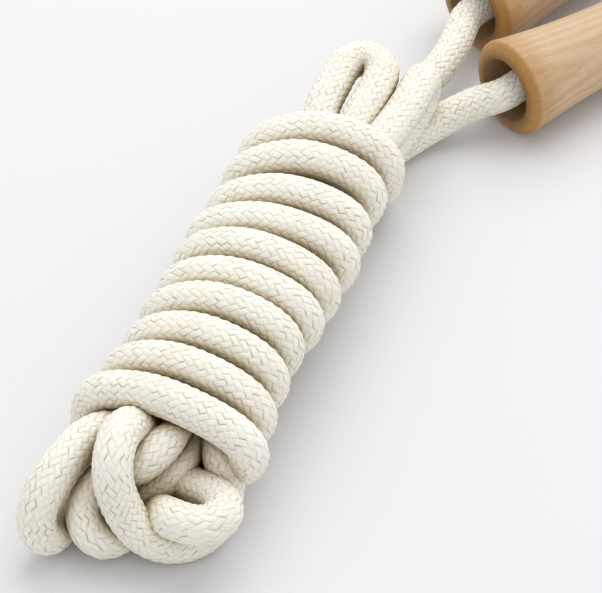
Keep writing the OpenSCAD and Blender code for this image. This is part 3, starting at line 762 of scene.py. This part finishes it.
class JUMPROPE_OT_rope(bpy.types.Operator):
    """Braids the rope from one handle's mouth through the hank to the other"""
    bl_idname = "jumprope.rope"
    bl_label = "Rope"

    def execute(self, context):
        rope = context.scene.jumprope_rope
        points, folded = rope_route()
        line, folded = through(points, folded, ROUTE_STEP)
        folded[-1] = 0  # the rope's far end lies free in the mouth
        line = eased(np.column_stack([line, folded]), ROUTE_EASE, ROUTE_STEP)
        line[:, 2] = np.maximum(line[:, 2], FLOOR_Z)

        # The folds are squeezed inside the turns and swell over a few millimetres outside them
        squeeze = np.clip(line[:, 3], 0, 1)
        line = line[:, :3]
        radius = (rope.diameter - (rope.diameter - rope.squeezed) * squeeze) / 2

        # Between the hank and the handles the rope is drawn a little thinner
        drawn = np.clip((line[:, 0] - DRAWN_FROM) / DRAWN_OVER, 0, 1)
        radius *= 1 - DRAWN_SHARE * drawn
        path = (turned(line, HANK_TURN) + HANK_AT) * MM
        length = float(np.linalg.norm(np.diff(path, axis=0), axis=1).sum())
        if not SHORTEST < length < LONGEST:
            raise RuntimeError(f"the rope's route is {length:.3f} m long")
        hidden = np.clip((squeeze - HIDDEN_FROM) / HIDDEN_OVER, 0, 1)
        stretch = 1 + (HIDDEN_STRETCH - 1) * hidden
        piece = braided_tube("braided_rope", path, radius, rope, strips=BAKE_STRIPS, stretch=stretch)
        piece.data.materials.append(cotton_braid("Braided cotton", rope))
        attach(piece, "rope")
        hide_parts("near_lead", "far_lead", "wrap_turns", "fold_bundle", "left_bight", "small_bight",
                    "big_bight", "inner_bight", "top_bight", "right_bight", "low_bight")
        return {"FINISHED"}


class JUMPROPE_OT_stoppers(bpy.types.Operator):
    """Ties the knot inside each handle, with the rope's cut end and its core yarns"""
    bl_idname = "jumprope.stoppers"
    bl_label = "Stopper knots"

    def execute(self, context):
        rope, stopper = context.scene.jumprope_rope, context.scene.jumprope_stopper
        braid = bpy.data.materials["Braided cotton"]
        core = spun_yarn("Cotton core yarn", tuple(stopper.core_colour), spacing=0.7 * MM)
        coil = []
        for i in range(COIL_STEPS + 1):
            angle = math.radians(COIL_FROM + COIL_SWEEP * i / COIL_STEPS)
            coil.append([COIL_START + (COIL_END - COIL_START) * i / COIL_STEPS,
                         COIL_RADIUS * math.cos(angle), COIL_RADIUS * math.sin(angle)])
        tail = [[x, 0, 0] for x in range(TAIL_START, TAIL_END, TAIL_STEP)]
        cut_end = [[x, 0, 0] for x in (*END_POINTS, ROPE_END)]
        route = np.array([*tail, INTO_COIL, *coil, OUT_OF_COIL, *cut_end], float)
        line, _ = through(route, np.zeros(len(route)), ROUTE_STEP)
        line = eased(line, KNOT_EASE, ROUTE_STEP)
        within = np.minimum(line[:, 0] - KNOT_START + TIGHT_PAST, KNOT_END + TIGHT_PAST - line[:, 0])
        tight = np.clip(within / TIGHT_OVER, 0, 1)
        radius = (rope.diameter + (stopper.strand - rope.diameter) * tight) / 2
        for end, mouth, yaw in HANDLES:
            knot = braided_tube(f"{end}_stopper_knot", in_handle(line, mouth, yaw), radius, rope)
            knot.data.materials.append(braid)
            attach(knot, "rope")
            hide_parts(f"{end}_tail", f"{end}_knot", f"{end}_rope_end")

            lines = []
            for k in range(CORE_YARNS + 1):
                r, angle = CORE_RING if k else 0, math.tau * k / CORE_YARNS
                proud = ROPE_END + CORE_PROUD - CORE_UNEVEN * (k % 3)
                along = [ROPE_END + start for start in CORE_STARTS] + [proud - DOME_LENGTH, proud]
                lines.append(in_handle([[x, r * math.cos(angle), r * math.sin(angle)] for x in along], mouth, yaw))
            yarns = round_tube(f"{end}_core_yarns", lines, stopper.core_yarn / 2, sides=12)
            yarns.data.materials.append(core)
            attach(yarns, "rope")
            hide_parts(f"{end}_core")
        return {"FINISHED"}


class JUMPROPE_OT_whippings(bpy.types.Operator):
    """Winds the whipping thread around each cut end"""
    bl_idname = "jumprope.whippings"
    bl_label = "Whippings"

    def execute(self, context):
        rope, stopper = context.scene.jumprope_rope, context.scene.jumprope_stopper
        cotton = spun_yarn("Waxed cotton thread", tuple(stopper.thread_colour), spacing=0.5 * MM)
        thread = stopper.thread / MM
        turns = int((WHIP_END - WHIP_START - thread) / thread)
        reach = rope.diameter / 2 / MM + thread / 2
        helix = []
        for i in range(turns * WHIP_STEPS + 1):
            angle = math.tau * i / WHIP_STEPS
            helix.append([WHIP_START + thread / 2 + (WHIP_END - WHIP_START - thread) * i / (turns * WHIP_STEPS),
                          reach * math.cos(angle), reach * math.sin(angle)])
        for end, mouth, yaw in HANDLES:
            coiled = in_handle(helix, mouth, yaw)
            winding = round_tube(f"{end}_whipping_thread", [coiled], stopper.thread / 2, sides=8)
            winding.data.materials.append(cotton)
            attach(winding, "rope")
            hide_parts(f"{end}_whipping")
        return {"FINISHED"}


class JUMPROPE_OT_handles(bpy.types.Operator):
    """Gives both turned handles their wood"""
    bl_idname = "jumprope.handles"
    bl_label = "Handles"

    def execute(self, context):
        for end, mouth, yaw in HANDLES:
            wood = turned_beech(f"Turned beech {end}", mouth, yaw, context.scene.jumprope_handle)
            dress(f"{end}_handle", wood)
        return {"FINISHED"}


class JUMPROPE_OT_washers(bpy.types.Operator):
    """Gives the washers under the knots their plated steel"""
    bl_idname = "jumprope.washers"
    bl_label = "Washers"

    def execute(self, context):
        steel = zinc_steel("Zinc-plated steel", context.scene.jumprope_handle)
        for end, _, _ in HANDLES:
            dress(f"{end}_washer", steel)
        return {"FINISHED"}


class JUMPROPE_PT_panel(bpy.types.Panel):
    """Lists the pieces and their sizes"""
    bl_idname = "JUMPROPE_PT_panel"
    bl_label = "Jump Rope"
    bl_space_type = "VIEW_3D"
    bl_region_type = "UI"
    bl_category = "Jump Rope"

    def draw(self, context):
        for operator in OPERATORS:
            self.layout.operator(operator.bl_idname)
        for name in SETTINGS:
            settings = getattr(context.scene, name)
            for key in settings.__annotations__:
                self.layout.prop(settings, key)


OPERATORS = [JUMPROPE_OT_stage, JUMPROPE_OT_rope, JUMPROPE_OT_stoppers, JUMPROPE_OT_whippings,
             JUMPROPE_OT_handles, JUMPROPE_OT_washers]
SETTINGS = {"jumprope_rope": RopeSettings, "jumprope_stopper": StopperSettings,
            "jumprope_handle": HandleSettings, "jumprope_stage": StageSettings}
CLASSES = [*SETTINGS.values(), *OPERATORS, JUMPROPE_PT_panel]


def register():
    for kind in CLASSES:
        bpy.utils.register_class(kind)
    for name, kind in SETTINGS.items():
        setattr(bpy.types.Scene, name, PointerProperty(type=kind))


def unregister():
    for name in SETTINGS:
        delattr(bpy.types.Scene, name)
    for kind in reversed(CLASSES):
        bpy.utils.unregister_class(kind)


def main():
    register()
    bpy.ops.jumprope.stage()
    bpy.ops.jumprope.rope()
    bpy.ops.jumprope.stoppers()
    bpy.ops.jumprope.whippings()
    bpy.ops.jumprope.handles()
    bpy.ops.jumprope.washers()


if __name__ == "__main__":
    main()
